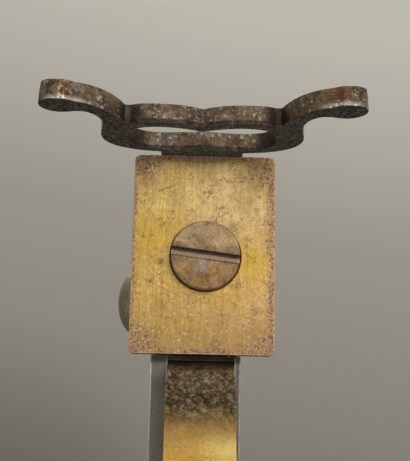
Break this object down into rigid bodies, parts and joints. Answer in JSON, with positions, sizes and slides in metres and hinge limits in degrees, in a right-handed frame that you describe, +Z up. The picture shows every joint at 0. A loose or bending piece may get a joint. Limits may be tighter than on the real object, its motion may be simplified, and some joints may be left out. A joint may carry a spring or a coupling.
{
  "type": "petrol table lighter",
  "caption": "Pistol-shaped petrol table lighter: trigger lifts the snuffer cap and turns the spark wheel; stands on scrolled feet and a domed butt cap.",
  "frame": {"origin": "middle of the object's outline in plan, at the height of the table it stands on", "axes": "+X to the muzzle end (the feet), +Y the pistol's left side, +Z up"},
  "size_m": [0.15, 0.0398, 0.0655],
  "materials": {
    "base_brass": "worn, brushed, tarnished at the edges",
    "washer_leather": "oiled leather",
    "filler_brass": "dull, pinkish, worn",
    "tank_steel": "blackened steel with worn edges",
    "felt": "felted cotton",
    "wick_cotton": "braided cotton",
    "bright_brass": "turned, worn",
    "flint_metal": "matt",
    "spring_steel": "blued spring steel",
    "dark_steel": "dark, smooth",
    "wheel_steel": "file-cut, hardened",
    "gear_brass": "cut brass, oiled",
    "pin_steel": "drawn steel",
    "foot_bronze": "dark brown patina, rubbed edges",
    "screw_brass": "worn",
    "lock_steel": "grey steel with brown patina",
    "screw_steel": "blued, worn",
    "cock_steel": "case-hardened steel",
    "stem_steel": "flat strip steel",
    "cap_brass": "worn, brown in the hollows",
    "trigger_steel": "filed bright, worn",
    "guard_brass": "dark brown at the front, rubbed gold behind",
    "walnut": "oiled walnut, satin"
  },
  "bodies": {
    "root": {"base_plate": "base_brass", "tank_box": "tank_steel", "wadding": "felt", "wick": "wick_cotton", "wick_tube": "bright_brass", "flint_tube": "bright_brass", "flint": "flint_metal", "axle_screw": "dark_steel", "idler_pin": "pin_steel", "front_foot": "foot_bronze", "foot_screws": "screw_brass", "lock_frame": "lock_steel", "lock_cover": "lock_steel", "cover_screws": "screw_steel", "breech_screws": "screw_steel", "cock_pin": "pin_steel", "trigger_pin": "pin_steel", "trigger_plate": "lock_steel", "main_spring": "spring_steel", "spring_screw": "screw_steel", "trigger_guard": "guard_brass", "guard_pin": "pin_steel", "grip": "walnut", "tang_screw": "screw_steel", "butt_cap": "cap_brass", "butt_screw": "screw_brass"},
    "trigger": {"trigger": "trigger_steel"},
    "cock": {"cock": "cock_steel", "top_jaw": "cock_steel", "jaw_screw": "screw_steel", "snuffer_stem": "stem_steel", "snuffer_pin": "pin_steel"},
    "snuffer": {"snuffer_cap": "cap_brass"},
    "wheel": {"spark_wheel": "wheel_steel", "wheel_pinion": "gear_brass", "wheel_bush": "gear_brass"},
    "idler": {"idler_gear": "gear_brass"},
    "washer": {"filler_washer": "washer_leather"},
    "filler": {"filler_screw": "filler_brass"},
    "flint_spring": {"flint_spring": "spring_steel"},
    "flint_screw": {"flint_screw": "bright_brass"}
  },
  "joints": [
    {"name": "trigger_pull", "type": "hinge", "parent": "root", "child": "trigger", "pos_m": [0.0181, 0.0005, 0.02694], "axis": [0, 1, 0], "range_deg": [0, 20], "stiffness_Nm_per_rad": 0.06, "springref_deg": -34.38},
    {"name": "cock_swing", "type": "hinge", "parent": "root", "child": "cock", "pos_m": [0.03089, 0.0005, 0.03263], "axis": [0, -1, 0], "range_deg": [0, 50], "deforming": ["main_spring"]},
    {"name": "idler_turn", "type": "hinge", "parent": "root", "child": "idler", "pos_m": [0.0431, 0.0005, 0.03708], "axis": [0, 1, 0], "range_deg": [0, 80]},
    {"name": "wheel_spin", "type": "hinge", "parent": "root", "child": "wheel", "pos_m": [0.0525, 0.0005, 0.0405], "axis": [0, -1, 0], "range_deg": [0, 80]},
    {"name": "cap_float", "type": "hinge", "parent": "cock", "child": "snuffer", "pos_m": [0.0639, 0.0005, 0.05195], "axis": [0, 1, 0], "range_deg": [-1.5, 1.5]},
    {"name": "filler_lift", "type": "slide", "parent": "root", "child": "washer", "axis": [0, 0, -1], "range_m": [0, 0.008]},
    {"name": "filler_turn", "type": "hinge", "parent": "washer", "child": "filler", "pos_m": [0.057, 0.0008, 0.0215], "axis": [0, 0, -1], "range_deg": [0, 3845]},
    {"name": "flint_out", "type": "slide", "parent": "root", "child": "flint_spring", "axis": [0.9397, 0, -0.342], "range_m": [0, 0.006]},
    {"name": "flint_turn", "type": "hinge", "parent": "flint_spring", "child": "flint_screw", "pos_m": [0.0716, 0.0005, 0.03355], "axis": [0.9397, 0, -0.342], "range_deg": [0, 2885]}
  ],
  "couplings": [
    {"joint": "cock_swing", "follows": "trigger_pull", "ratio": 2.5},
    {"joint": "idler_turn", "follows": "trigger_pull", "ratio": 4},
    {"joint": "wheel_spin", "follows": "trigger_pull", "ratio": 4},
    {"joint": "filler_turn", "follows": "filler_lift", "rad_per_m": 8377.6},
    {"joint": "flint_turn", "follows": "flint_out", "rad_per_m": 8377.6}
  ]
}
